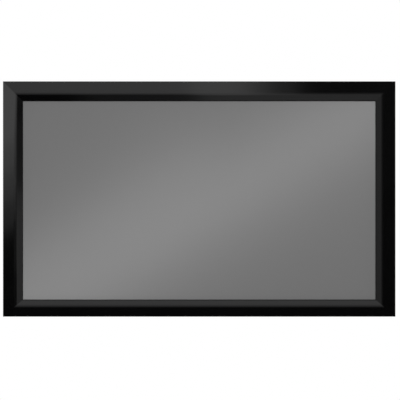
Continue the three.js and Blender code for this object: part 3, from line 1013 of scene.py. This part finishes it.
# Soft panels in front of the screen. Each is seen in the satin of one rail, and stands a little nearer to the
# screen than the last.
PANELS = [
    # rail, middle x, middle z, length, height, slope in degrees, radiance
    ("top", -0.84, 1.08, 2.12, 1.84, 0, 0.24),
    ("top", -0.775, 0.875, 2.25, 2.25, 0, 0.28),
    ("top", -0.71, 0.60, 2.38, 2.80, 0, 0.26),
    ("top", 0.12, 0.40, 0.32, 3.20, 0, 0.27),
    ("top", 0.85, -1.15, 2.9, 2.9, 0, 0.12),
    ("top", 1.15, -1.35, 2.3, 2.5, 0, 0.13),
    ("top", 1.15, -1.55, 2.3, 2.1, 0, 0.20),
    ("left", 1.33, -0.15, 1.9, 0.40, 0, 0.42),
    ("left", 1.42, -0.80, 1.74, 0.90, 0, 0.42),
    ("left", -0.235, 0.01, 0.77, 0.22, 0, 0.35),
    ("left", 1.1, 0.23, 2.4, 0.35, 0, 0.11),
    ("left", 0.15, 0.17, 1.1, 0.22, 0, 0.17),
    ("left", -0.185, -0.24, 1.13, 0.24, 0, 0.09),
    ("left", -0.185, -0.48, 1.13, 0.24, 0, 0.03),
]
# Four more that slant, each a step further up across the slope.
for i in range(4):
    x, z = Matrix.Rotation(math.radians(SLANT), 2) @ Vector((-0.15, 0.98 + 0.13 * i))
    PANELS.append(("left", x, z, 3.0, 1.6, SLANT, 0.31))

# Narrow lamps close to the film, for the band of light that slants across it.
STRIPS = (
    # name, length, middle x, middle z, distance from the film, slope in radians, radiance
    ("long_strip", 4.0, -0.147, -0.154, 0.292, 0.556, 2.73),
    ("short_strip", 1.31, -0.5, -0.13, 0.229, 0.589, 0.92),
)


def light_box(name, size, middle, radiance, aim=(0, 1, 0), spin=0.0, diffuse=True, glossy=True, only=()):
    """A soft rectangular lamp of an even brightness, where 1 is white."""
    lamp = bpy.data.lights.new(name, "AREA")
    lamp.shape = "RECTANGLE"
    lamp.size, lamp.size_y = size
    lamp.energy = radiance * math.pi * size[0] * size[1]
    made = bpy.data.objects.new(name, lamp)
    scene.collection.objects.link(made)
    x, y, z = middle
    turn = Vector(aim).to_track_quat("-Z", "Y").to_matrix().to_4x4()
    made.matrix_world = Matrix.Translation((x, y, VIEW_Z + z)) @ turn @ Matrix.Rotation(spin, 4, "Z")
    made.visible_diffuse = diffuse
    made.visible_glossy = glossy
    if only:
        lit = bpy.data.collections.new(f"{name}_lights")
        for shown in only:
            lit.objects.link(shown)
        made.light_linking.receiver_collection = lit


def make_lamps():
    for i, (rail, x, z, length, height, slope, radiance) in enumerate(PANELS):
        light_box(
            f"panel_{i + 1}", (length, height), (x, PANEL_Y + PANEL_STEP * i, z), radiance,
            spin=math.radians(slope), diffuse=False, only=[RAILS[rail]],
        )
    light_box("front", (2.6, 1.8), (0.2, -2.6, 0.6), 1.25, aim=(0, 1, -0.22), glossy=False)
    for name, length, x, z, away, slope, radiance in STRIPS:
        light_box(
            name, (length, STRIP_HEIGHT), (x, BACK_Y - FILM_FRONT - away, z), radiance,
            spin=slope, glossy=False, only=[FILM_PIECE],
        )


def make_room():
    """A pale room. The rails mirror its ceiling and left wall, and it is white behind the screen."""
    world = bpy.data.worlds.new("studio")
    scene.world = world
    world.use_nodes = True
    g = Graph(world.node_tree)
    back = world.node_tree.nodes["Background"]
    direction = g.node("ShaderNodeTexCoord", output="Generated")
    apart = g.node("ShaderNodeSeparateXYZ", inputs={0: direction})
    x, y, z = (Value(g, socket) for socket in apart.socket.node.outputs)
    ceiling = z.math("MAXIMUM", z, 0.0)
    left_wall = x.math("MAXIMUM", 0.0 - x, 0.0)
    left_wall = left_wall * left_wall
    front = 0.9 * ceiling + 0.76 * left_wall * left_wall
    behind = g.step(y, -0.1, 0.35)
    mirrored = front * (1 - behind) + behind
    path = g.tree.nodes.new("ShaderNodeLightPath")
    seen, glossy, through = (
        Value(g, path.outputs[name]) for name in ("Is Camera Ray", "Is Glossy Ray", "Is Transmission Ray")
    )
    plain = 0.83
    strength = plain + (1 - plain) * (seen + through) + (mirrored - plain) * glossy
    g.tree.links.new(strength.socket, back.inputs["Strength"])
    back.inputs["Color"].default_value = (1, 1, 1, 1)


def make_camera():
    data = bpy.data.cameras.new("camera")
    data.sensor_width = SENSOR
    data.lens = SENSOR * CAMERA_AWAY / (PIXELS_WIDE * PIXEL)
    data.clip_end = 10 * CAMERA_AWAY
    camera = bpy.data.objects.new("camera", data)
    scene.collection.objects.link(camera)
    camera.location = (VIEW_X, BACK_Y - DEPTH - CAMERA_AWAY, VIEW_Z)
    camera.rotation_euler = (math.radians(90), 0, 0)
    scene.camera = camera


def floor_paint(g):
    """Pale floor that fades out towards its rim."""
    clouds = g.noise(g.place(), 3, 3)
    grain = g.noise(g.place(), 160, 2)
    away = g.node("ShaderNodeVectorMath", {"operation": "LENGTH"}, {0: g.place()}, "Value")
    return {
        "Base Color": g.blend(clouds, (0.78, 0.78, 0.78), (0.82, 0.82, 0.82)),
        "Roughness": 0.55 + 0.15 * grain,
        "Alpha": 1 - g.step(away, 0.4 * FLOOR_RADIUS, FLOOR_RADIUS - 0.1),
    }


def make_floor():
    work = bmesh.new()
    bmesh.ops.create_circle(work, cap_ends=True, radius=FLOOR_RADIUS, segments=96)
    mesh = bpy.data.meshes.new("floor")
    work.to_mesh(mesh)
    work.free()
    mesh.transform(Matrix.Translation((0, 0, FLOOR)))
    floor = piece("floor", mesh, (finish("floor_paint", floor_paint),))
    floor.visible_glossy = False


scene.view_settings.view_transform = "Standard"
make_room()
make_camera()
make_lamps()
make_floor()
